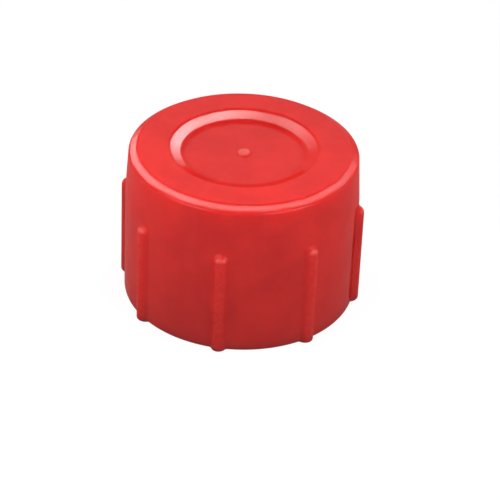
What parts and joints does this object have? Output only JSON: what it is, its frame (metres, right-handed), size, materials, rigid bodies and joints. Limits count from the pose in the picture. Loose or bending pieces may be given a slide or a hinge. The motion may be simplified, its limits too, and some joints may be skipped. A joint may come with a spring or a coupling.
{
  "type": "threaded protection cap",
  "caption": "Moulded plastic cap with an internal thread and straight grip ribs. It screws over a threaded pipe end or port, to guard the thread and keep dirt out.",
  "frame": {"origin": "centre of the open rim, on the surface that the cap stands on", "axes": "+Z along the cap's axis towards the closed top; -Y through the middle of one grip rib"},
  "size_m": [0.0274, 0.0274, 0.0182],
  "materials": {
    "red_polyethylene": "moulded soft polyethylene, waxy semi-gloss, coloured through"
  },
  "bodies": {
    "root": {"cap": "red_polyethylene"}
  },
  "joints": []
}
